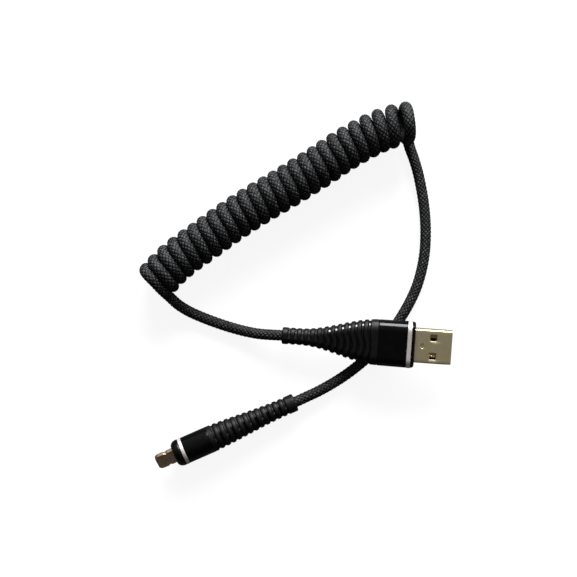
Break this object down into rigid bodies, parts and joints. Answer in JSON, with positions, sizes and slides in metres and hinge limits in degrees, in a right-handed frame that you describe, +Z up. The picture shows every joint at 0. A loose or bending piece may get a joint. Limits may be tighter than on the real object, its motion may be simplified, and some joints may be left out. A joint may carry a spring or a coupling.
{
  "type": "charging cable",
  "caption": "Coiled charging cable with a black braided cord, a flat shell plug on one end and a slim reversible phone plug on the other, both with ribbed strain reliefs.",
  "frame": {"origin": "centre of the box round the two plugs, on the surface that the cable lies on", "axes": "+X runs from the slim plug's end towards the flat plug's tip, +Y runs from the plugs towards the coil, +Z is up"},
  "size_m": [0.1101, 0.1304, 0.0154],
  "materials": {
    "cord_braid": "black braided nylon sleeve with lighter flecks",
    "relief_rubber": "satin black moulded rubber",
    "black_anodised": "gloss black anodised",
    "bright_trim": "polished",
    "black_plastic": "gloss black",
    "nickel_shell": "warm satin nickel",
    "nickel_tab": "warm satin nickel",
    "dark_insulator": "matte black",
    "gold_contact": "gold plated",
    "pale_mould": "natural moulding",
    "plain_steel": "plain",
    "panel_amber": "amber-brown insulator",
    "green_board": "solder mask green",
    "red_wire": "satin",
    "black_wire": "satin",
    "white_wire": "satin",
    "green_wire": "satin"
  },
  "bodies": {
    "cord": {"usb_lead": "cord_braid", "coil": "cord_braid"},
    "usb_plug": {"usb_strain_relief": "relief_rubber", "usb_housing": "black_anodised", "usb_trim_ring": "bright_trim", "usb_nose_cap": "black_plastic", "usb_shell": "nickel_shell", "usb_tongue": "dark_insulator", "usb_contacts": "gold_contact", "usb_mould_lower": "pale_mould", "usb_mould_upper": "pale_mould", "usb_crimp_sleeve": "plain_steel", "usb_cord_end": "cord_braid", "usb_wire_red": "red_wire", "usb_wire_black": "black_wire", "usb_wire_white": "white_wire", "usb_wire_green": "green_wire"},
    "slim_cord": {"slim_lead": "cord_braid"},
    "slim_plug": {"slim_strain_relief": "relief_rubber", "slim_housing": "black_anodised", "slim_trim_ring": "bright_trim", "slim_nose_cap": "black_plastic", "slim_tab_frame": "nickel_tab", "slim_contact_panels": "panel_amber", "slim_contacts": "gold_contact", "slim_circuit_board": "green_board", "slim_control_chip": "black_plastic", "slim_mould_lower": "pale_mould", "slim_mould_upper": "pale_mould", "slim_crimp_sleeve": "plain_steel", "slim_cord_end": "cord_braid", "slim_wire_red": "red_wire", "slim_wire_black": "black_wire", "slim_wire_white": "white_wire", "slim_wire_green": "green_wire"}
  },
  "joints": [
    {"name": "coil_stretch", "type": "slide", "parent": "cord", "child": "slim_cord", "axis": [0.848, 0.53, 0], "range_m": [0, 0.018], "stiffness_N_per_m": 15, "deforming": ["coil"]},
    {"name": "usb_plug_swing", "type": "hinge", "parent": "cord", "child": "usb_plug", "pos_m": [0.00918, 0.01985, 0.00723], "axis": [0, 0, 1], "range_deg": [-35, 35], "stiffness_Nm_per_rad": 0.02, "deforming": ["usb_strain_relief"]},
    {"name": "slim_plug_swing", "type": "hinge", "parent": "slim_cord", "child": "slim_plug", "pos_m": [-0.01868, -0.00966, 0.00415], "axis": [0, 0, 1], "range_deg": [-35, 35], "stiffness_Nm_per_rad": 0.02, "deforming": ["slim_strain_relief"]}
  ]
}
